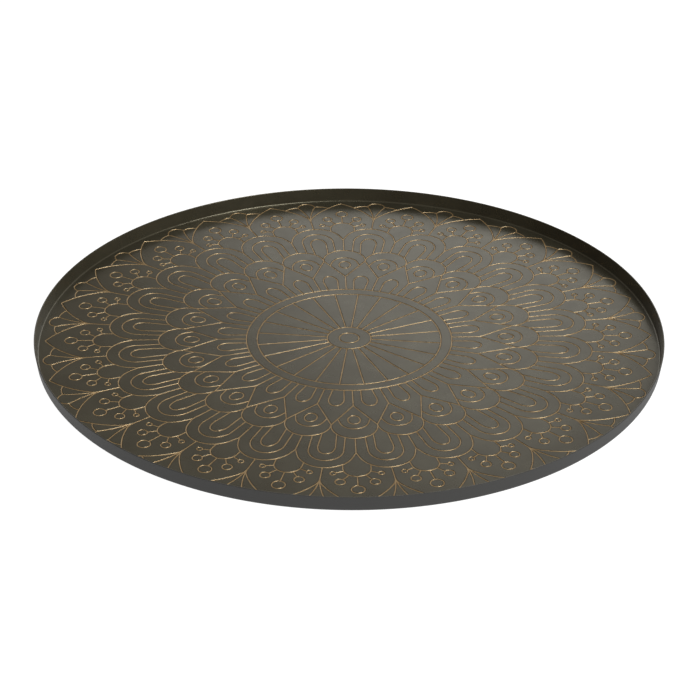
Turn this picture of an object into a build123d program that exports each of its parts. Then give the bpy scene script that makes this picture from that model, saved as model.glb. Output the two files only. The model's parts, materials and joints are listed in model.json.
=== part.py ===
from build123d import *
from math import atan2, cos, degrees, hypot, radians, sin, sqrt, tan
import os

# A round, shallow metal serving tray: one spun pan with a nearly upright wall,
# its floor engraved with a 24-petal mandala, and brass strips lying in the
# engraved channels. The pan stands on the flat underside of its floor.
#
# Frame: origin at the centre of the underside, +Z up, +X along one petal.
# Motifs are drawn with x running outwards and y across. Petal motifs lie on the
# petal axes (0, 15, 30 ... degrees) and arch motifs midway between them.

# Pan
rim_radius = 300.0
foot_radius = 298.0
total_height = 15.2
sheet = 1.2
bend_radius = 2.6
lip_round = 0.45

# Engraved channels and the brass strips in them
channel_width = 1.4
channel_depth = 0.5
strip_play = 0.05
strip_thickness = 0.25

# Mandala: how often it repeats, and its rings
repeats = 24
half_pitch = 180.0 / repeats
centre_ring_radius = 9.5
hub_radius = 21.0
inner_wheel_radius = 88.1
outer_wheel_radius = 98.5

# Small arches standing on the wheel
small_arch_spring = 116.0
small_arch_half_width = 7.2
small_arch_foot = 5.2
small_arch_rise = 10.9
small_arch_crown = 5.6

# Eye petals and the forked ribs under them
fork_radius = 125.8
eye_centre = 161.4
eyelid_centre = 153.0
eyelid_radius = 13.2
eyelid_half_angle = 75.0
eye_ring_centre = 150.8
eye_ring_half_length = 7.3
eye_ring_half_width = 5.7

# Three nested arches
outer_arch_centre = 206.8
outer_arch_radius = 25.5
outer_arch_half_angle = 75.0
middle_arch_spring = 203.2
middle_arch_half_width = 15.8
middle_arch_foot = 14.8
middle_arch_rise = 17.3
middle_arch_crown = 14.9
inner_arch_spring = 197.5
inner_arch_half_width = 7.95
inner_arch_foot = 6.5
inner_arch_rise = 11.9
inner_arch_crown = 6.4

# Buds, each with beads on stems: distance from the bud's centre, angle, radius
bud_centre = 232.8
bud_radius = 12.4
beads = ((33.1, 0, 6.0), (25.8, 36.4, 4.5), (25.8, -36.4, 4.5), (22.3, 71.7, 2.6), (22.3, -71.7, 2.6))

# Pointed outer petals, and the scalloped fans between them
ogive_foot = 250.0
ogive_shoulder = (258.2, 30.8)
ogive_tip = 290.6
fan_foot = 252.0
fan_vein_lean = 5.0
scallop_joint = (284.4, 9.1)
scallop_crest = 292.0
side_scallop_rise = 1.5
side_scallop_end = (279.8, 23.1)


def polar(radius, angle):
    """The point at a radius and an angle in degrees."""
    return (radius * cos(radians(angle)), radius * sin(radians(angle)))


def crossing(point, heading, start, end):
    """Where the line from point along heading meets the line through start and end."""
    dx = end[0] - start[0]
    dy = end[1] - start[1]
    across = dx * (start[1] - point[1]) - dy * (start[0] - point[0])
    reach = across / (dx * heading[1] - dy * heading[0])
    return (point[0] + reach * heading[0], point[1] + reach * heading[1])


# Eye petals are circles that touch their neighbours on the arch axes
eye_radius = eye_centre * sin(radians(half_pitch))
eye_touch = eye_centre * cos(radians(half_pitch))
fork = (fork_radius, 0)
rib_end = polar(eye_touch, half_pitch)


def above_eye_petal(offset):
    """How far out the eye petals' edge lies, at an offset from an arch axis."""
    return eye_touch + sqrt(eye_radius**2 - (eye_radius - offset) ** 2)


def three_centred_arch(foot, foot_half_width, spring, half_width, rise, crown):
    """An arch on straight legs: a small crown arc between two wider shoulder arcs."""
    drop = rise - crown
    shoulder = (half_width**2 + drop**2 - crown**2) / (2 * (half_width - crown))
    turn = degrees(atan2(drop, shoulder - half_width))
    with BuildLine() as path:
        Line((foot, foot_half_width), (spring, half_width))
        CenterArc((spring, half_width - shoulder), shoulder, 90, -turn)
        CenterArc((spring + drop, 0), crown, 90 - turn, 2 * turn - 180)
        CenterArc((spring, shoulder - half_width), shoulder, turn - 90, -turn)
        Line((spring, -half_width), (foot, -foot_half_width))
    return path.line


# Paths of the open lines
with BuildLine() as spoke:
    Line((hub_radius, 0), (inner_wheel_radius, 0))

small_arch = three_centred_arch(
    outer_wheel_radius,
    small_arch_foot,
    small_arch_spring,
    small_arch_half_width,
    small_arch_rise,
    small_arch_crown,
)

with BuildLine() as stem:
    Line((outer_wheel_radius, 0), fork)

with BuildLine() as ribs:
    Polyline(rib_end, fork, (rib_end[0], -rib_end[1]))

with BuildLine() as eye_petal:
    CenterArc((eye_centre, 0), eye_radius, -90 - half_pitch, 180 + 2 * half_pitch)

with BuildLine() as eyelid:
    lid = CenterArc((eyelid_centre, 0), eyelid_radius, 0, eyelid_half_angle)
    Line(lid @ 1, crossing(tuple(lid @ 1), tuple(lid % 1), fork, rib_end))
    mirror(about=Plane.XZ)

with BuildLine() as outer_arch:
    haunch = CenterArc((outer_arch_centre, 0), outer_arch_radius, 0, outer_arch_half_angle)
    arch_merge = crossing(tuple(haunch @ 1), tuple(haunch % 1), (0, 0), polar(1, half_pitch))
    Line(haunch @ 1, arch_merge)
    mirror(about=Plane.XZ)

with BuildLine() as arch_post:
    Line((eye_centre + eye_radius, 0), (hypot(*arch_merge), 0))

middle_arch = three_centred_arch(
    above_eye_petal(middle_arch_foot),
    middle_arch_foot,
    middle_arch_spring,
    middle_arch_half_width,
    middle_arch_rise,
    middle_arch_crown,
)

inner_arch = three_centred_arch(
    above_eye_petal(inner_arch_foot),
    inner_arch_foot,
    inner_arch_spring,
    inner_arch_half_width,
    inner_arch_rise,
    inner_arch_crown,
)

# A bud is a half circle on short legs, which stand on the outer arches
outer_arch_axis = polar(outer_arch_centre, half_pitch)
bud_foot = outer_arch_axis[0] + sqrt(outer_arch_radius**2 - (outer_arch_axis[1] - bud_radius) ** 2)
with BuildLine() as bud:
    Line((bud_foot, bud_radius), (bud_centre, bud_radius))
    CenterArc((bud_centre, 0), bud_radius, 90, -180)
    Line((bud_centre, -bud_radius), (bud_foot, -bud_radius))

with BuildLine() as ogive:
    shoulder_arc = TangentArc(polar(ogive_foot, half_pitch), ogive_shoulder, tangent=polar(1, half_pitch))
    TangentArc(shoulder_arc @ 1, (ogive_tip, 0), tangent=shoulder_arc % 1)
    mirror(about=Plane.XZ)

with BuildLine() as ogive_neck:
    Line((outer_arch_centre + outer_arch_radius, 0), (ogive_foot, 0))

with BuildLine() as vein:
    TangentArc((fan_foot, 0), scallop_joint, tangent=polar(1, fan_vein_lean))

other_joint = (scallop_joint[0], -scallop_joint[1])
other_end = (side_scallop_end[0], -side_scallop_end[1])
with BuildLine() as scallops:
    ThreePointArc(other_joint, (scallop_crest, 0), scallop_joint)
    SagittaArc(scallop_joint, side_scallop_end, -side_scallop_rise)
    SagittaArc(other_joint, other_end, side_scallop_rise)


def band(width, *paths):
    """A flat band of one width along each path, with round ends."""
    with BuildSketch() as flat:
        for path in paths:
            with BuildLine():
                add(path)
                offset(amount=width / 2, kind=Kind.ARC)
            make_face()
    return flat.sketch


def ring(width, centre, half_length, half_width):
    """A flat band of one width round a circle or an oval."""
    with BuildSketch() as flat:
        with Locations(centre):
            Ellipse(half_length + width / 2, half_width + width / 2)
            Ellipse(half_length - width / 2, half_width - width / 2, mode=Mode.SUBTRACT)
    return flat.sketch


def eye_rings(width):
    """The oval ring in one eye petal."""
    return ring(width, (eye_ring_centre, 0), eye_ring_half_length, eye_ring_half_width)


def bead_rings(width):
    """The rings round one bud."""
    with BuildSketch() as flat:
        for distance, angle, radius in beads:
            with Locations((bud_centre, 0)), Locations(polar(distance, angle)):
                Circle(radius + width / 2)
                Circle(radius - width / 2, mode=Mode.SUBTRACT)
    return flat.sketch


def bead_stems(width):
    """The short lines that join a bud to its beads."""
    stems = []
    for distance, angle, radius in beads:
        with BuildLine(Plane((bud_centre, 0))) as path:
            Line(polar(bud_radius, angle), polar(distance - radius, angle))
        stems.append(path.line)
    return band(width, *stems)


def whole_ring(radius):
    """A maker of one ring about the tray's centre."""

    def ring_at(width):
        with BuildSketch() as flat:
            Circle(radius + width / 2)
            Circle(radius - width / 2, mode=Mode.SUBTRACT)
        return flat.sketch

    return ring_at


def all_round(motif, axis_angle):
    """Every repeat of a motif, starting at an angle."""
    with BuildSketch() as pattern:
        with PolarLocations(0, repeats, start_angle=axis_angle):
            add(motif)
    return pattern.sketch


def repeated(draw, axis_angle):
    """A maker of every repeat of a motif."""
    return lambda width: all_round(draw(width), axis_angle)


petal_axis = 0
arch_axis = half_pitch
flipped_vein = vein.line.mirror(Plane.XZ)

# Each node's name and how its lines are drawn at a given width
motifs = {
    "centre_ring_strip": whole_ring(centre_ring_radius),
    "hub_ring_strip": whole_ring(hub_radius),
    "inner_wheel_ring_strip": whole_ring(inner_wheel_radius),
    "outer_wheel_ring_strip": whole_ring(outer_wheel_radius),
    "eye_petal_strips": repeated(lambda width: band(width, eye_petal.line), petal_axis),
    "outer_arch_strips": repeated(lambda width: band(width, outer_arch.line), arch_axis),
    "ogive_strips": repeated(lambda width: band(width, ogive.line), petal_axis),
    "spoke_strips": repeated(lambda width: band(width, spoke.line), arch_axis),
    "small_arch_strips": repeated(lambda width: band(width, small_arch), arch_axis),
    "forked_rib_strips": repeated(lambda width: band(width, stem.line, ribs.line), petal_axis),
    "eyelid_strips": repeated(lambda width: band(width, eyelid.line), petal_axis),
    "eye_ring_strips": repeated(eye_rings, petal_axis),
    "arch_post_strips": repeated(lambda width: band(width, arch_post.line), petal_axis),
    "middle_arch_strips": repeated(lambda width: band(width, middle_arch), arch_axis),
    "inner_arch_strips": repeated(lambda width: band(width, inner_arch), arch_axis),
    "bud_strips": repeated(lambda width: band(width, bud.line), petal_axis),
    "bead_ring_strips": repeated(bead_rings, petal_axis),
    "bead_stem_strips": repeated(bead_stems, petal_axis),
    "ogive_neck_strips": repeated(lambda width: band(width, ogive_neck.line), arch_axis),
    "scallop_strips": repeated(lambda width: band(width, scallops.line), arch_axis),
    "fan_vein_strips": repeated(lambda width: band(width, vein.line, flipped_vein), arch_axis),
}

with BuildSketch(Plane.XY.offset(sheet)) as engraving:
    for draw in motifs.values():
        add(draw(channel_width))

# The pan: a spun disc and wall of one sheet thickness, with a round bend and lip
wall_lean = atan2(rim_radius - foot_radius, total_height)
wall_across = sheet / cos(wall_lean)
inner_foot_radius = foot_radius + sheet * tan(wall_lean) - wall_across

with BuildPart() as tray_pan:
    with BuildSketch(Plane.XZ) as section:
        with BuildLine():
            Polyline(
                (0, 0),
                (foot_radius, 0),
                (rim_radius, total_height),
                (rim_radius - wall_across, total_height),
                (inner_foot_radius, sheet),
                (0, sheet),
                close=True,
            )
        make_face()
        fillet(section.vertices().sort_by_distance((foot_radius, 0))[0], bend_radius)
        fillet(section.vertices().sort_by_distance((inner_foot_radius, sheet))[0], bend_radius - sheet)
        fillet(section.vertices().group_by(Axis.Y)[-1], lip_round)
    revolve(axis=Axis.Z)
    extrude(engraving.sketch, amount=-channel_depth, mode=Mode.SUBTRACT)

os.makedirs("parts", exist_ok=True)
tray_pan.part.label = "tray_pan"
export_step(tray_pan.part, "parts/tray_pan.step")

# The strips lie on the channel floors, a little below the pan's surface. Where
# lines meet, the strip named first in the table runs through.
strip_width = channel_width - 2 * strip_play
laid = []
for node, draw in motifs.items():
    with BuildPart() as strip:
        with BuildSketch(Plane.XY.offset(sheet - channel_depth)):
            add(draw(strip_width))
            if laid:
                add(laid, mode=Mode.SUBTRACT)
        extrude(amount=strip_thickness)
    laid.append(draw(strip_width))
    strip.part.label = node
    export_step(strip.part, f"parts/{node}.step")
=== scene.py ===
import json
import math

import bmesh
import bpy
import numpy as np
from mathutils import Matrix, Vector

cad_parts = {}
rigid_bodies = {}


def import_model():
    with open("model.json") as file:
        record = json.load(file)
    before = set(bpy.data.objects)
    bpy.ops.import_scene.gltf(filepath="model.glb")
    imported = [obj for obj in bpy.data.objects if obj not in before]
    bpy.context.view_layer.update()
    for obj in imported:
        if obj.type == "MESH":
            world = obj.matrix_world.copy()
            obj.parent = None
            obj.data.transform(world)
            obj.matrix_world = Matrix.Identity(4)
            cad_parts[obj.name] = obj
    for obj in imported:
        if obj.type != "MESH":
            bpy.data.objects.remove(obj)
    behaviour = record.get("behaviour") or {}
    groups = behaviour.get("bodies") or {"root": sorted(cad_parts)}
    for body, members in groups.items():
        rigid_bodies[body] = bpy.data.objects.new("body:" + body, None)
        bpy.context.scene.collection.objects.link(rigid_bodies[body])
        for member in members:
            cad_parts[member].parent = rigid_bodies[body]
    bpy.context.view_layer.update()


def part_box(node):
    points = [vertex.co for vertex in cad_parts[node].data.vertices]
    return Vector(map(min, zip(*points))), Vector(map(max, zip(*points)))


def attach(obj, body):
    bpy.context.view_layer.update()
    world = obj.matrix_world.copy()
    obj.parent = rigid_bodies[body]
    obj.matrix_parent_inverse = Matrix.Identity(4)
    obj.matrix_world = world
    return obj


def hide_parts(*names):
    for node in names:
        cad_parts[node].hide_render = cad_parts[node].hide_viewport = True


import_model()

# Lengths are millimetres until a mesh is made, unless a comment says otherwise. MM turns them into metres.
MM = 0.001

# The pan, from the frame
PAN_LOW, PAN_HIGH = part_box("tray_pan")
RIM_RADIUS = min(PAN_HIGH.x, PAN_HIGH.y, -PAN_LOW.x, -PAN_LOW.y) / MM
TOTAL_HEIGHT = PAN_HIGH.z / MM
LEAN_OUT = 2.0
FOOT_RADIUS = RIM_RADIUS - LEAN_OUT
SHEET = 1.2
BEND_RADIUS = 2.6
LIP_ROUND = 0.45
OUTER_BEND_STEPS, INNER_BEND_STEPS, LIP_STEPS = 8, 7, 5

# Mandala
REPEATS = 24
HALF_PITCH = 180.0 / REPEATS
CENTRE_RING_RADIUS = 9.5
HUB_RADIUS = 21.0
INNER_WHEEL_RADIUS = 88.1
OUTER_WHEEL_RADIUS = 98.5
FORK_RADIUS = 125.8
EYE_CENTRE = 161.4
EYELID_CENTRE = 153.0
EYELID_RADIUS = 13.2
EYELID_HALF_ANGLE = 75.0
EYE_RING_CENTRE = 150.8
EYE_RING_HALF_LENGTH = 7.3
EYE_RING_HALF_WIDTH = 5.7
OUTER_ARCH_CENTRE = 206.8
OUTER_ARCH_RADIUS = 25.5
OUTER_ARCH_HALF_ANGLE = 75.0
# Three-centred arches: half width at the foot, spring, half width there, rise above it and crown radius
SMALL_ARCH = (5.2, 116.0, 7.2, 10.9, 5.6)
MIDDLE_ARCH = (14.8, 203.2, 15.8, 17.3, 14.9)
INNER_ARCH = (6.5, 197.5, 7.95, 11.9, 6.4)
BUD_CENTRE = 232.8
BUD_RADIUS = 12.4
# Each bead's distance from the bud's centre, angle and radius
BEADS = ((33.1, 0.0, 6.0), (25.8, 36.4, 4.5), (22.3, 71.7, 2.6))
OGIVE_FOOT = 250.0
OGIVE_SHOULDER = (258.2, 30.8)
OGIVE_TIP = (290.6, 0.0)
FAN_FOOT = 252.0
FAN_VEIN_LEAN = 5.0
SCALLOP_JOINT = (284.4, 9.1)
SCALLOP_CREST = (292.0, 0.0)
SIDE_SCALLOP_RISE = 1.5
SIDE_SCALLOP_END = (279.8, 23.1)

# Half profiles across a line: (distance from its middle, height above the pan's floor)
CHANNEL = ((0, 0.6), (0.98, 0.6), (0.98, 0.04), (0.84, -0.1), (0.84, -0.5), (0, -0.5))
STRIP = ((0, 0.3), (0.54, 0.3), (0.54, -0.49), (0, -0.49))
STRIP_ROOM = ((0, 0.4), (0.56, 0.4), (0.56, -0.6), (0, -0.6))
HOLLOW = ((0, 0.6), (0.62, 0.6), (0.62, -0.09), (0.52, -0.11), (0.38, -0.26), (0.19, -0.34), (0, -0.36))

# How finely curves are drawn: the most an arc stands off its chords, and the steps of round ends and the pan
ARC_ERROR = 0.075
END_STEPS = 4
PAN_STEPS = 6
CREASE = math.radians(35)
# Plain strips of wall beside its bends, which keep their shading from spreading up and down the wall
WALL_MARGIN = 0.6
# The block that keeps one sector: from under the tray to over it, and its length in rim radii
BLOCK_LOW, BLOCK_HIGH = -5.0, 25.0
BLOCK_LENGTH = 1.1
# The most that points in one plane are apart
NEAR = 0.001
# A face whose normal is this upright is level
LEVEL = 0.9999

# Noise scales, in features to a metre, and the range that nearly all of a noise lies in
CLOUD_SCALE = 22.0
SATIN_SCALE = 60.0
PATINA_GRAIN_SCALE = 1600.0
TARNISH_SCALE = 90.0
RUBBED_SCALE = 400.0
BRASS_GRAIN_SCALE = 1800.0
NOISE_LOW, NOISE_HIGH = 0.3, 0.7

# The dark finish. Colours are stops of (noise, colour); roughnesses are the lowest and the highest
PATINA_COLOURS = ((0.35, (0.066, 0.060, 0.040)), (0.5, (0.074, 0.068, 0.046)), (0.66, (0.082, 0.076, 0.052)))
PATINA_ROUGHNESS = (0.26, 0.31)
PATINA_METALLIC = 0.7
PATINA_IOR = 1.5
OUTSIDE_COLOUR = (0.021, 0.021, 0.020)
OUTSIDE_ROUGHNESS = 0.6
# Painted shade: down in the sheet, through the channels' walls and bottoms, the patina's colour is only this
# fraction of itself; the heights below say where that painted shade fades in and out
PAINTED_CHANNEL_SHADE = 0.1
UNSHADED_ABOVE, SHADE_PAINTED_BELOW = SHEET - 0.04, SHEET - 0.2
SHADE_PAINTED_ABOVE, UNSHADED_BELOW = 0.4, 0.3
# The inside's finish turns into the outside's within this distance of the middle of the wall's sheet
WALL_BLEND = 0.1

# The brass
BRASS_COLOURS = ((0.3, (0.275, 0.188, 0.092)), (0.5, (0.355, 0.252, 0.13)), (0.68, (0.425, 0.318, 0.175)))
BRASS_ROUGHNESS = (0.41, 0.48)
BRASS_METALLIC = 0.7

# The depth of both metals' grain, in metres
GRAIN_DEPTH = 0.000004

# The camera. It and the card are placed in axes turned by TURN about the tray's centre. Angles are degrees,
# and CAMERA_REACH is metres
TURN = -1.92
CAMERA_AIM = (0.88, -23.45, SHEET)
CAMERA_DISTANCE = 2255.3
CAMERA_ELEVATION = 29.742
CAMERA_ROLL = 0.407
CAMERA_LENS = 121.98
CAMERA_REACH = 100.0
SENSOR_WIDTH = 36.0

# The studio, in metres and degrees
KEY_AZIMUTH = -36.0
KEY_ELEVATION = 60.0
KEY_STRENGTH = 2.6
KEY_SPREAD = 28.0
KEY_COLOUR = (1.0, 0.985, 0.96)
FILL_AZIMUTH = -42.0
FILL_ELEVATION = 10.0
FILL_STRENGTH = 1.7
FILL_SPREAD = 30.0
CARD_CENTRE = (0.215, 1.15, 0.425)
CARD_SIZE = (0.68, 0.75)
CARD_YAW = 0.3
CARD_ROLL = -41.0
CARD_POWER = 2.0
CARD_COLOUR = (0.93, 0.95, 1.0)
# The sines of the elevations between which the surroundings get dimmer, and their strengths there
SURROUND_LEVELS = (0.6, 0.85)
SURROUND_STRENGTHS = (0.39, 0.20)
SURROUND_COLOUR = (1.0, 0.93, 0.86)
FLOOR_HALF_WIDTH = 15.0
FLOOR_DROP = 0.0003
FLOOR_GREY = 0.1
FLOOR_GLOW = 1.0


# ---------------------------------------------------------------- plane geometry


def polar(radius, angle):
    """The point at a radius and an angle in degrees."""
    return np.array((radius * math.cos(math.radians(angle)), radius * math.sin(math.radians(angle))))


def turned(points, angle):
    """Points turned about the tray's centre."""
    c, s = polar(1.0, angle)
    return np.asarray(points, float) @ np.array(((c, s), (-s, c)))


def flipped(points):
    """Points mirrored in the x axis, in the opposite order."""
    return (np.asarray(points, float) * (1, -1))[::-1]


def line(start, end):
    return np.array((start, end), float)


def arc(centre, radius, start, sweep):
    """An arc from a start angle through a sweep, both in degrees."""
    widest_step = 2 * math.acos(1 - ARC_ERROR / radius)
    count = max(2, math.ceil(abs(math.radians(sweep)) / widest_step))
    return np.array([np.add(centre, polar(radius, start + sweep * k / count)) for k in range(count + 1)])


def arc_along(start, end, heading):
    """The arc from start to end that leaves along a heading, and the heading it arrives along."""
    start, end = np.array(start, float), np.array(end, float)
    heading = np.array(heading, float) / np.hypot(*heading)
    left = np.array((-heading[1], heading[0]))
    chord = end - start
    radius = chord @ chord / (2 * chord @ left)
    centre = start + radius * left
    from_angle = math.degrees(math.atan2(*(start - centre)[::-1]))
    turn = 2 * math.degrees(math.atan2(chord @ left, chord @ heading))
    c, s = polar(1.0, turn)
    return arc(centre, abs(radius), from_angle, turn), np.array(
        (c * heading[0] - s * heading[1], s * heading[0] + c * heading[1])
    )


def arc_with_rise(start, end, rise):
    """The arc from start to end that stands a rise to the left of its chord."""
    start, end = np.array(start, float), np.array(end, float)
    lean = 2 * math.degrees(math.atan2(2 * rise, np.hypot(*(end - start))))
    c, s = polar(1.0, lean)
    chord = end - start
    heading = (c * chord[0] - s * chord[1], s * chord[0] + c * chord[1])
    return arc_along(start, end, heading)[0]


def joined(*pieces):
    """Pieces of a path end to end, without doubled points."""
    return np.concatenate([pieces[0]] + [piece[1:] for piece in pieces[1:]])


def crossing(point, heading, start, end):
    """Where the line from point along heading meets the line through start and end."""
    d = np.subtract(end, start)
    across = d[0] * (start[1] - point[1]) - d[1] * (start[0] - point[0])
    reach = across / (d[0] * heading[1] - d[1] * heading[0])
    return np.add(point, reach * np.array(heading))


EYE_RADIUS = EYE_CENTRE * math.sin(math.radians(HALF_PITCH))
EYE_TOUCH = EYE_CENTRE * math.cos(math.radians(HALF_PITCH))
FORK = (FORK_RADIUS, 0.0)
RIB_END = polar(EYE_TOUCH, HALF_PITCH)


def above_eye_petal(offset):
    """How far out the eye petals' edge lies, at an offset from an arch axis."""
    return EYE_TOUCH + math.sqrt(EYE_RADIUS**2 - (EYE_RADIUS - offset) ** 2)


def three_centred_arch(foot, foot_half_width, spring, half_width, rise, crown):
    """An arch on straight legs: a small crown arc between two wider shoulder arcs."""
    drop = rise - crown
    shoulder = (half_width**2 + drop**2 - crown**2) / (2 * (half_width - crown))
    turn = math.degrees(math.atan2(drop, shoulder - half_width))
    leg = line((foot, foot_half_width), (spring, half_width))
    haunch = arc((spring, half_width - shoulder), shoulder, 90, -turn)
    top = arc((spring + drop, 0), crown, 90 - turn, 2 * turn - 180)
    return joined(leg, haunch, top, flipped(haunch), flipped(leg))


# ---------------------------------------------------------------- the mandala's lines
# Each function gives the smooth paths of one motif, in the sector from the petal
# axis (0 degrees) to the arch axis (HALF_PITCH degrees).


def ring_about_centre(radius):
    return [arc((0, 0), radius, -HALF_PITCH, 3 * HALF_PITCH)]


def on_arch_axis(*paths):
    return [turned(path, HALF_PITCH) for path in paths]


def spokes():
    return on_arch_axis(line((HUB_RADIUS, 0), (INNER_WHEEL_RADIUS, 0)))


def small_arches():
    return on_arch_axis(three_centred_arch(OUTER_WHEEL_RADIUS, *SMALL_ARCH))


def forked_ribs():
    return [line((OUTER_WHEEL_RADIUS, 0), FORK), line(FORK, RIB_END)]


def eye_petals():
    return [arc((EYE_CENTRE, 0), EYE_RADIUS, -90 - HALF_PITCH, 180 + 2 * HALF_PITCH)]


def eyelids():
    lid = arc((EYELID_CENTRE, 0), EYELID_RADIUS, 0, EYELID_HALF_ANGLE)
    foot = crossing(lid[-1], polar(1, EYELID_HALF_ANGLE + 90), FORK, RIB_END)
    side = joined(lid, line(lid[-1], foot))
    return [joined(flipped(side), side)]


def eye_rings():
    circle = arc((0, 0), EYE_RING_HALF_LENGTH, 0, 360)[:-1]
    squeeze = EYE_RING_HALF_WIDTH / EYE_RING_HALF_LENGTH
    return [circle * (1, squeeze) + (EYE_RING_CENTRE, 0)]


def arch_merge():
    """Where an outer arch's side runs into the petal axis, in the arch's own axes."""
    haunch = np.add((OUTER_ARCH_CENTRE, 0), polar(OUTER_ARCH_RADIUS, OUTER_ARCH_HALF_ANGLE))
    return crossing(haunch, polar(1, OUTER_ARCH_HALF_ANGLE + 90), (0, 0), polar(1, HALF_PITCH))


def outer_arches():
    haunch = arc((OUTER_ARCH_CENTRE, 0), OUTER_ARCH_RADIUS, 0, OUTER_ARCH_HALF_ANGLE)
    side = joined(haunch, line(haunch[-1], arch_merge()))
    return on_arch_axis(joined(flipped(side), side))


def arch_posts():
    return [line((EYE_CENTRE + EYE_RADIUS, 0), (np.hypot(*arch_merge()), 0))]


def middle_arches():
    return on_arch_axis(three_centred_arch(above_eye_petal(MIDDLE_ARCH[0]), *MIDDLE_ARCH))


def inner_arches():
    return on_arch_axis(three_centred_arch(above_eye_petal(INNER_ARCH[0]), *INNER_ARCH))


def buds():
    axis = polar(OUTER_ARCH_CENTRE, HALF_PITCH)
    foot = axis[0] + math.sqrt(OUTER_ARCH_RADIUS**2 - (axis[1] - BUD_RADIUS) ** 2)
    leg = line((foot, BUD_RADIUS), (BUD_CENTRE, BUD_RADIUS))
    return [joined(leg, arc((BUD_CENTRE, 0), BUD_RADIUS, 90, -180), flipped(leg))]


def bead_rings():
    rings = []
    for distance, angle, radius in BEADS:
        centre = np.add((BUD_CENTRE, 0), polar(distance, angle))
        rings.append(arc(centre, radius, 0, 360)[:-1])
    return rings


def bead_stems():
    stems = []
    for distance, angle, radius in BEADS:
        stem = line(polar(BUD_RADIUS, angle), polar(distance - radius, angle))
        stems.append(np.add((BUD_CENTRE, 0), stem))
    return stems


def ogives():
    shoulder, heading = arc_along(polar(OGIVE_FOOT, HALF_PITCH), OGIVE_SHOULDER, polar(1, HALF_PITCH))
    return [joined(shoulder, arc_along(OGIVE_SHOULDER, OGIVE_TIP, heading)[0])]


def ogive_necks():
    return on_arch_axis(line((OUTER_ARCH_CENTRE + OUTER_ARCH_RADIUS, 0), (OGIVE_FOOT, 0)))


def fan_veins():
    vein = arc_along((FAN_FOOT, 0), SCALLOP_JOINT, polar(1, FAN_VEIN_LEAN))[0]
    return on_arch_axis(flipped(vein))


def scallops():
    joint, crest = np.array(SCALLOP_JOINT), np.array(SCALLOP_CREST)
    half_width, rise = joint[1], crest[0] - joint[0]
    radius = (half_width**2 + rise**2) / (2 * rise)
    half_turn = math.degrees(math.atan2(half_width, joint[0] - crest[0] + radius))
    centre_scallop = arc((crest[0] - radius, 0), radius, -half_turn, 2 * half_turn)
    side = arc_with_rise(SCALLOP_JOINT, SIDE_SCALLOP_END, -SIDE_SCALLOP_RISE)
    return on_arch_axis(centre_scallop, flipped(side))


CLOSED = {"eye_ring_strips", "bead_ring_strips"}

# The CAD node of each motif and its paths. A line runs through those named after it.
MOTIFS = {
    "centre_ring_strip": ring_about_centre(CENTRE_RING_RADIUS),
    "hub_ring_strip": ring_about_centre(HUB_RADIUS),
    "inner_wheel_ring_strip": ring_about_centre(INNER_WHEEL_RADIUS),
    "outer_wheel_ring_strip": ring_about_centre(OUTER_WHEEL_RADIUS),
    "eye_petal_strips": eye_petals(),
    "outer_arch_strips": outer_arches(),
    "ogive_strips": ogives(),
    "spoke_strips": spokes(),
    "small_arch_strips": small_arches(),
    "forked_rib_strips": forked_ribs(),
    "eyelid_strips": eyelids(),
    "eye_ring_strips": eye_rings(),
    "arch_post_strips": arch_posts(),
    "middle_arch_strips": middle_arches(),
    "inner_arch_strips": inner_arches(),
    "bud_strips": buds(),
    "bead_ring_strips": bead_rings(),
    "bead_stem_strips": bead_stems(),
    "ogive_neck_strips": ogive_necks(),
    "scallop_strips": scallops(),
    "fan_vein_strips": fan_veins(),
}


# ---------------------------------------------------------------- solids for cutting


def new_mesh(name, points, faces):
    mesh = bpy.data.meshes.new(name)
    mesh.from_pydata([tuple(p) for p in points], [], faces)
    work = bmesh.new()
    work.from_mesh(mesh)
    bmesh.ops.recalc_face_normals(work, faces=work.faces)
    bmesh.ops.triangulate(work, faces=work.faces)
    work.to_mesh(mesh)
    work.free()
    return mesh


def swept(path, half_profile, closed):
    """A closed solid of one cross-section along a path, with round ends."""
    path = np.asarray(path, float)
    count = len(path)
    if closed:
        ahead = np.roll(path, -1, axis=0) - np.roll(path, 1, axis=0)
    else:
        ahead = np.gradient(path, axis=0)
    ahead /= np.hypot(ahead[:, 0], ahead[:, 1])[:, None]
    right = np.stack((ahead[:, 1], -ahead[:, 0]), axis=1)
    (_, top), (_, bottom) = half_profile[0], half_profile[-1]
    rim = half_profile[1:-1]
    points, faces = [], []

    def put(spot, height):
        points.append((spot[0], spot[1], SHEET + height))
        return len(points) - 1

    def side(spot, outward, top_point, bottom_point):
        """One half of the cross-section, from its top middle to its bottom middle."""
        between = [put(spot + distance * outward, height) for distance, height in rim]
        return [top_point, *between, bottom_point]

    def skin(first, second):
        for k in range(len(first) - 1):
            corners = [first[k], first[k + 1], second[k + 1], second[k]]
            faces.append(list(dict.fromkeys(corners)))

    rights, lefts, middles = [], [], []
    for spot, outward in zip(path, right):
        top_point, bottom_point = put(spot, top), put(spot, bottom)
        middles.append((top_point, bottom_point))
        rights.append(side(spot, outward, top_point, bottom_point))
        lefts.append(side(spot, -outward, top_point, bottom_point))
    last = count if closed else count - 1
    for k in range(last):
        skin(rights[k], rights[(k + 1) % count])
        skin(lefts[(k + 1) % count], lefts[k])
    if not closed:
        for end, way in ((0, -1), (count - 1, 1)):
            previous = rights[end]
            for k in range(1, END_STEPS):
                angle = math.pi * k / END_STEPS
                outward = right[end] * math.cos(angle) + ahead[end] * way * math.sin(angle)
                ring = side(path[end], outward, *middles[end])
                skin(previous, ring)
                previous = ring
            skin(previous, lefts[end])
    return new_mesh("sweep", points, faces)


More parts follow.
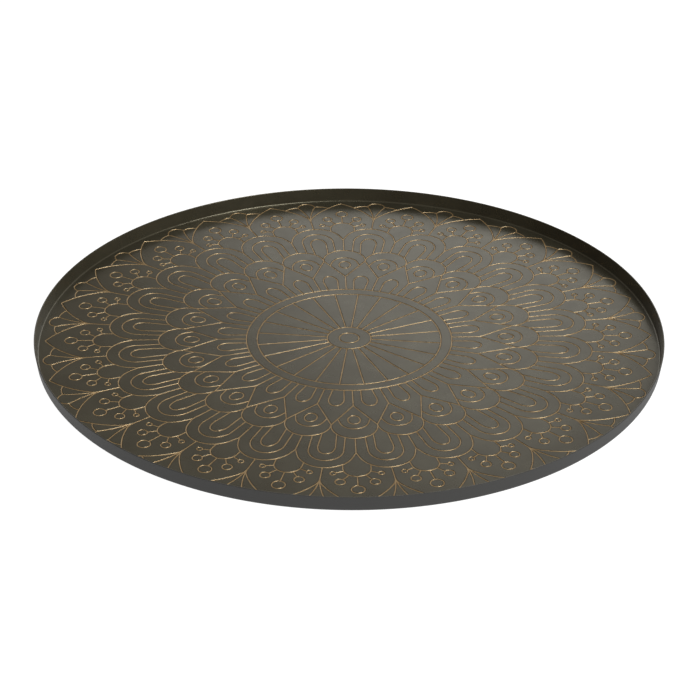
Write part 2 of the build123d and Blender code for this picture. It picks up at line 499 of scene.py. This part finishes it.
def rounded_corner(before, corner, after, radius, steps):
    """Points round a corner of a profile, from the side it is reached by to the side it is left by."""
    corner = np.array(corner, float)
    back, on = np.subtract(before, corner), np.subtract(after, corner)
    back, on = back / np.hypot(*back), on / np.hypot(*on)
    half_angle = math.acos(back @ on) / 2
    middle = corner + (back + on) / np.hypot(*(back + on)) * radius / math.sin(half_angle)
    start, end = corner + back * radius / math.tan(half_angle), corner + on * radius / math.tan(half_angle)
    sweep = math.pi - 2 * half_angle
    points = []
    for k in range(steps + 1):
        share = k / steps
        start_part, end_part = math.sin((1 - share) * sweep), math.sin(share * sweep)
        points.append(middle + ((start - middle) * start_part + (end - middle) * end_part) / math.sin(sweep))
    return points


def pan_section():
    """The pan's section as (radius, height), from the middle of its underside round to that of its floor."""
    lean = math.atan2(RIM_RADIUS - FOOT_RADIUS, TOTAL_HEIGHT)
    across = SHEET / math.cos(lean)
    bottom, top = (0.0, 0.0), (0.0, SHEET)
    outer_foot, outer_lip = (FOOT_RADIUS, 0.0), (RIM_RADIUS, TOTAL_HEIGHT)
    inner_lip = (RIM_RADIUS - across, TOTAL_HEIGHT)
    inner_foot = (FOOT_RADIUS + SHEET * math.tan(lean) - across, SHEET)
    up = np.array(polar(WALL_MARGIN, 90 - math.degrees(lean)))
    outer_bend = rounded_corner(bottom, outer_foot, outer_lip, BEND_RADIUS, OUTER_BEND_STEPS)
    outer_round = rounded_corner(outer_foot, outer_lip, inner_lip, LIP_ROUND, LIP_STEPS)
    inner_round = rounded_corner(outer_lip, inner_lip, inner_foot, LIP_ROUND, LIP_STEPS)
    inner_bend = rounded_corner(inner_lip, inner_foot, top, BEND_RADIUS - SHEET, INNER_BEND_STEPS)
    outer_wall = [outer_bend[-1] + up, outer_round[0] - up]
    inner_wall = [inner_round[-1] - up, inner_bend[0] + up]
    return [bottom, *outer_bend, *outer_wall, *outer_round, *inner_round, *inner_wall, *inner_bend, top]


def pan_wedge():
    """The part of the plain pan between the petal axis and the arch axis."""
    section = pan_section()
    points, faces, rings = [], [], []
    for radius, height in section:
        if radius == 0:
            points.append((0, 0, height))
            rings.append([len(points) - 1] * (PAN_STEPS + 1))
            continue
        ring = []
        for k in range(PAN_STEPS + 1):
            x, y = polar(radius, HALF_PITCH * k / PAN_STEPS)
            points.append((x, y, height))
            ring.append(len(points) - 1)
        rings.append(ring)
    for first, second in zip(rings, rings[1:]):
        for k in range(PAN_STEPS):
            corners = [first[k], first[k + 1], second[k + 1], second[k]]
            faces.append(list(dict.fromkeys(corners)))
    faces.append([ring[0] for ring in rings])
    faces.append([ring[-1] for ring in rings][::-1])
    return new_mesh("pan_wedge", points, faces)


def sector_block():
    """A tall block over the sector, for keeping what lies in it."""
    low, high, reach = BLOCK_LOW, BLOCK_HIGH, RIM_RADIUS * BLOCK_LENGTH
    outline = [(0, 0), (reach, 0), tuple(polar(reach, HALF_PITCH))]
    points = [(x, y, low) for x, y in outline] + [(x, y, high) for x, y in outline]
    faces = [(2, 1, 0), (3, 4, 5), (0, 1, 4, 3), (1, 2, 5, 4), (2, 0, 3, 5)]
    return new_mesh("sector_block", points, faces)


def combined(mesh, operation, others):
    """A mesh with others cut from it, added to it or kept in common with it."""
    holder = bpy.data.objects.new("work", mesh)
    bpy.context.scene.collection.objects.link(holder)
    group = bpy.data.collections.new("others")
    bpy.context.scene.collection.children.link(group)
    for other in others:
        group.objects.link(bpy.data.objects.new("other", other))
    cut = holder.modifiers.new("cut", "BOOLEAN")
    cut.operation = operation
    cut.operand_type = "COLLECTION"
    cut.collection = group
    cut.solver = "MANIFOLD"
    view = bpy.context.evaluated_depsgraph_get()
    result = bpy.data.meshes.new_from_object(holder.evaluated_get(view))
    for thing in [holder, *group.objects]:
        bpy.data.objects.remove(thing)
    bpy.data.collections.remove(group)
    return result


def all_round(mesh):
    """The sector's mesh mirrored and repeated round the tray as one piece, in metres."""
    work = bmesh.new()
    work.from_mesh(mesh)
    arch_side = polar(1.0, HALF_PITCH + 90)
    caps = []
    for face in work.faces:
        on_petal_side = all(abs(v.co.y) < NEAR for v in face.verts)
        on_arch_side = all(abs(v.co.x * arch_side[0] + v.co.y * arch_side[1]) < NEAR for v in face.verts)
        if on_petal_side or on_arch_side:
            caps.append(face)
    bmesh.ops.delete(work, geom=caps, context="FACES")
    other_half = bmesh.ops.duplicate(work, geom=work.verts[:] + work.edges[:] + work.faces[:])["geom"]
    mirrored = [item for item in other_half if isinstance(item, bmesh.types.BMVert)]
    bmesh.ops.scale(work, vec=(1, -1, 1), verts=mirrored)
    bmesh.ops.reverse_faces(work, faces=[item for item in other_half if isinstance(item, bmesh.types.BMFace)])
    whole = work.verts[:] + work.edges[:] + work.faces[:]
    for k in range(1, REPEATS):
        copy = bmesh.ops.duplicate(work, geom=whole)["geom"]
        turned_points = [item for item in copy if isinstance(item, bmesh.types.BMVert)]
        bmesh.ops.rotate(work, matrix=Matrix.Rotation(2 * math.pi * k / REPEATS, 3, "Z"), verts=turned_points)
    bmesh.ops.remove_doubles(work, verts=work.verts[:], dist=NEAR)
    bmesh.ops.scale(work, vec=(MM, MM, MM), verts=work.verts[:])
    for face in work.faces:
        face.smooth = abs(face.normal.z) < LEVEL
    for edge in work.edges:
        edge.smooth = edge.calc_face_angle(math.pi) < CREASE
    result = bpy.data.meshes.new("all_round")
    work.to_mesh(result)
    work.free()
    return result


def sweeps(half_profile, nodes):
    """One solid for each path of the named motifs."""
    return [swept(path, half_profile, node in CLOSED) for node in nodes for path in MOTIFS[node]]


# ---------------------------------------------------------------- materials


def surface(name):
    """A new material, its node tree and its shader."""
    material = bpy.data.materials.new(name)
    material.use_nodes = True
    tree = material.node_tree
    return material, tree, tree.nodes["Principled BSDF"]


def noise(tree, scale, detail=4.0, roughness=0.5):
    """A noise over the object's own coordinates, in metres."""
    place = tree.nodes.new("ShaderNodeTexCoord")
    texture = tree.nodes.new("ShaderNodeTexNoise")
    texture.inputs["Scale"].default_value = scale
    texture.inputs["Detail"].default_value = detail
    texture.inputs["Roughness"].default_value = roughness
    tree.links.new(place.outputs["Object"], texture.inputs["Vector"])
    return texture.outputs["Fac"]


def ramp(tree, value, stops):
    """A colour for a value: stops are (position, colour)."""
    node = tree.nodes.new("ShaderNodeValToRGB")
    elements = node.color_ramp.elements
    while len(elements) < len(stops):
        elements.new(0.5)
    for element, (position, colour) in zip(elements, stops):
        element.position = position
        element.color = (*colour, 1.0)
    tree.links.new(value, node.inputs["Fac"])
    return node.outputs["Color"]


def grained(tree, value):
    """A fine relief from a value."""
    node = tree.nodes.new("ShaderNodeBump")
    node.inputs["Strength"].default_value = 1.0
    node.inputs["Distance"].default_value = GRAIN_DEPTH
    tree.links.new(value, node.inputs["Height"])
    return node.outputs["Normal"]


def calculated(tree, operation, *values):
    """The result of a sum on values, which are outputs or numbers."""
    node = tree.nodes.new("ShaderNodeMath")
    node.operation = operation
    for socket, value in zip(node.inputs, values):
        if isinstance(value, bpy.types.NodeSocket):
            tree.links.new(value, socket)
        else:
            socket.default_value = value
    return node.outputs[0]


def graded(tree, value, low, high, at_low, at_high):
    """A number that goes from one value to another as a measure goes from low to high."""
    node = tree.nodes.new("ShaderNodeMapRange")
    for name, number in (("From Min", low), ("From Max", high), ("To Min", at_low), ("To Max", at_high)):
        node.inputs[name].default_value = number
    tree.links.new(value, node.inputs["Value"])
    return node.outputs["Result"]


def varied(tree, scale, low, high):
    """A number that wanders between low and high over the surface."""
    return graded(tree, noise(tree, scale), NOISE_LOW, NOISE_HIGH, low, high)


def parts_of_the_pan(tree):
    """How much a point is on the inside rather than the outside, and how far it is out of the painted shade
    down in the channels.
    """
    place = tree.nodes.new("ShaderNodeTexCoord")
    parts = tree.nodes.new("ShaderNodeSeparateXYZ")
    tree.links.new(place.outputs["Object"], parts.inputs["Vector"])
    x, y, z = parts.outputs
    squares = calculated(tree, "MULTIPLY_ADD", x, x, calculated(tree, "MULTIPLY", y, y))
    lean = (RIM_RADIUS - FOOT_RADIUS) / TOTAL_HEIGHT
    from_foot = calculated(
        tree, "SUBTRACT", calculated(tree, "SQRT", squares), calculated(tree, "MULTIPLY", z, lean)
    )
    middle = FOOT_RADIUS - SHEET / 2
    inside = graded(tree, from_foot, (middle - WALL_BLEND) * MM, (middle + WALL_BLEND) * MM, 1.0, 0.0)
    # Painted shade: the colour drops to a tenth of itself down in the channels, below the floor's surface,
    # and is full again near the underside
    above = graded(tree, z, SHADE_PAINTED_BELOW * MM, UNSHADED_ABOVE * MM, PAINTED_CHANNEL_SHADE, 1.0)
    below = graded(tree, z, UNSHADED_BELOW * MM, SHADE_PAINTED_ABOVE * MM, 1.0, 0.0)
    return inside, calculated(tree, "MAXIMUM", above, below)


def patina():
    """Satin dark bronze: cloudy in colour, finely grained, with painted shade making it near black in the
    channels, and greyer outside.
    """
    material, tree, shader = surface("dark_bronze_patina")
    shader.inputs["IOR"].default_value = PATINA_IOR
    clouds = noise(tree, CLOUD_SCALE, detail=5.0, roughness=0.6)
    grain = noise(tree, PATINA_GRAIN_SCALE, detail=2.0)
    # light is the share of the patina's colour left after the painted shade in the channels
    inside, light = parts_of_the_pan(tree)
    shaded = tree.nodes.new("ShaderNodeVectorMath")
    shaded.operation = "SCALE"
    tree.links.new(ramp(tree, clouds, PATINA_COLOURS), shaded.inputs[0])
    tree.links.new(light, shaded.inputs["Scale"])
    colour = tree.nodes.new("ShaderNodeMix")
    colour.data_type = "RGBA"
    colour.inputs["A"].default_value = (*OUTSIDE_COLOUR, 1.0)
    tree.links.new(inside, colour.inputs["Factor"])
    tree.links.new(shaded.outputs["Vector"], colour.inputs["B"])
    tree.links.new(colour.outputs["Result"], shader.inputs["Base Color"])
    satin = calculated(tree, "MULTIPLY", varied(tree, SATIN_SCALE, *PATINA_ROUGHNESS), inside)
    matt = calculated(tree, "MULTIPLY_ADD", inside, -OUTSIDE_ROUGHNESS, OUTSIDE_ROUGHNESS)
    tree.links.new(calculated(tree, "ADD", satin, matt), shader.inputs["Roughness"])
    tree.links.new(calculated(tree, "MULTIPLY", inside, PATINA_METALLIC), shader.inputs["Metallic"])
    tree.links.new(grained(tree, grain), shader.inputs["Normal"])
    return material


def aged_brass():
    """Brass let into the lines: brown where it has tarnished, bright where it is rubbed."""
    material, tree, shader = surface("aged_brass")
    shader.inputs["Metallic"].default_value = BRASS_METALLIC
    tarnish = noise(tree, TARNISH_SCALE, detail=6.0, roughness=0.65)
    tree.links.new(ramp(tree, tarnish, BRASS_COLOURS), shader.inputs["Base Color"])
    tree.links.new(varied(tree, RUBBED_SCALE, *BRASS_ROUGHNESS), shader.inputs["Roughness"])
    tree.links.new(grained(tree, noise(tree, BRASS_GRAIN_SCALE, detail=2.0)), shader.inputs["Normal"])
    return material


# ---------------------------------------------------------------- pieces


def piece(name, mesh, node, slot, material):
    """A finished piece that stands for a CAD node."""
    made = bpy.data.objects.new(name, mesh)
    mesh.name = name
    mesh.materials.clear()
    mesh.materials.append(material)
    bpy.context.scene.collection.objects.link(made)
    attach(made, "root")
    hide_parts(node)
    return made


def make_pan(material):
    """The pan with the channels of every motif cut into its floor."""
    engraved = combined(pan_wedge(), "DIFFERENCE", sweeps(CHANNEL, MOTIFS))
    piece("engraved_pan", all_round(engraved), "tray_pan", "dark_bronze", material)


def make_strips(material):
    """Each motif's brass: a gutter along its lines. Where lines meet, the first named runs through."""
    hollows = sweeps(HOLLOW, MOTIFS)
    laid = []
    for node in MOTIFS:
        first, *others = sweeps(STRIP, [node])
        whole = combined(first, "UNION", others) if others else first
        within = combined(whole, "INTERSECT", [sector_block()])
        gutter = combined(within, "DIFFERENCE", hollows + laid)
        piece(node.replace("strip", "inlay"), all_round(gutter), node, "gold_line", material)
        laid += sweeps(STRIP_ROOM, [node])


# ---------------------------------------------------------------- floor, light and camera


def make_camera():
    """The camera, placed by the point it is aimed at and its distance from there."""
    turn = Matrix.Rotation(math.radians(TURN), 3, "Z")
    elevation, roll = math.radians(CAMERA_ELEVATION), math.radians(CAMERA_ROLL)
    forward = turn @ Vector((0, math.cos(elevation), -math.sin(elevation)))
    level_right = turn @ Vector((1, 0, 0))
    level_up = level_right.cross(forward)
    right = math.cos(roll) * level_right + math.sin(roll) * level_up
    up = math.cos(roll) * level_up - math.sin(roll) * level_right
    data = bpy.data.cameras.new("camera")
    data.lens = CAMERA_LENS
    data.sensor_width = SENSOR_WIDTH
    data.clip_end = CAMERA_REACH
    camera = bpy.data.objects.new("camera", data)
    facing = Matrix((right, up, -forward)).transposed()
    spot = (turn @ Vector(CAMERA_AIM) - forward * CAMERA_DISTANCE) * MM
    camera.matrix_world = Matrix.Translation(spot) @ facing.to_4x4()
    bpy.context.scene.collection.objects.link(camera)
    bpy.context.scene.camera = camera


def sun(name, strength, spread, azimuth, elevation):
    """A sun that shines from an azimuth and an elevation; all its angles are in degrees."""
    light = bpy.data.lights.new(name, "SUN")
    light.energy = strength
    light.angle = math.radians(spread)
    made = bpy.data.objects.new(name, light)
    around, above = math.radians(azimuth), math.radians(elevation)
    way = Vector((math.cos(above) * math.cos(around), math.cos(above) * math.sin(around), math.sin(above)))
    made.rotation_euler = way.to_track_quat("Z", "Y").to_euler()
    bpy.context.scene.collection.objects.link(made)
    return made


def make_lights():
    """A soft key sun, a low fill that isn't mirrored, and a lit card behind that the tray's floor mirrors."""
    key = sun("key", KEY_STRENGTH, KEY_SPREAD, KEY_AZIMUTH, KEY_ELEVATION)
    key.data.color = KEY_COLOUR
    fill = sun("fill", FILL_STRENGTH, FILL_SPREAD, FILL_AZIMUTH, FILL_ELEVATION)
    fill.visible_glossy = False
    panel = bpy.data.lights.new("card", "AREA")
    panel.shape = "RECTANGLE"
    panel.size, panel.size_y = CARD_SIZE
    panel.energy = CARD_POWER
    panel.color = CARD_COLOUR
    card = bpy.data.objects.new("card", panel)
    centre = Matrix.Rotation(math.radians(TURN), 3, "Z") @ Vector(CARD_CENTRE)
    card.location = centre
    facing = Vector((centre.x * CARD_YAW, centre.y, 0)).to_track_quat("Z", "Y").to_matrix()
    card.rotation_euler = (facing @ Matrix.Rotation(math.radians(CARD_ROLL), 3, "Z")).to_euler()
    bpy.context.scene.collection.objects.link(card)


def make_floor():
    """A white, evenly glowing floor just under the tray."""
    half = FLOOR_HALF_WIDTH
    corners = [(x, y, -FLOOR_DROP) for x, y in ((-half, -half), (half, -half), (half, half), (-half, half))]
    mesh = bpy.data.meshes.new("floor")
    mesh.from_pydata(corners, [], [(0, 1, 2, 3)])
    floor = bpy.data.objects.new("floor", mesh)
    material, _, shader = surface("floor_white")
    shader.inputs["Base Color"].default_value = (FLOOR_GREY, FLOOR_GREY, FLOOR_GREY, 1.0)
    shader.inputs["Roughness"].default_value = 1.0
    shader.inputs["Emission Color"].default_value = (1.0, 1.0, 1.0, 1.0)
    shader.inputs["Emission Strength"].default_value = FLOOR_GLOW
    mesh.materials.append(material)
    bpy.context.scene.collection.objects.link(floor)


def make_surroundings():
    """A studio that is pale low down and dim overhead."""
    world = bpy.data.worlds.new("studio")
    world.use_nodes = True
    tree = world.node_tree
    way = tree.nodes.new("ShaderNodeTexCoord")
    parts = tree.nodes.new("ShaderNodeSeparateXYZ")
    tree.links.new(way.outputs["Generated"], parts.inputs["Vector"])
    background = tree.nodes["Background"]
    background.inputs["Color"].default_value = (*SURROUND_COLOUR, 1.0)
    strength = graded(tree, parts.outputs["Z"], *SURROUND_LEVELS, *SURROUND_STRENGTHS)
    tree.links.new(strength, background.inputs["Strength"])
    bpy.context.scene.world = world


make_pan(patina())
make_strips(aged_brass())
make_floor()
make_surroundings()
make_lights()
make_camera()
bpy.context.scene.view_settings.view_transform = "Standard"
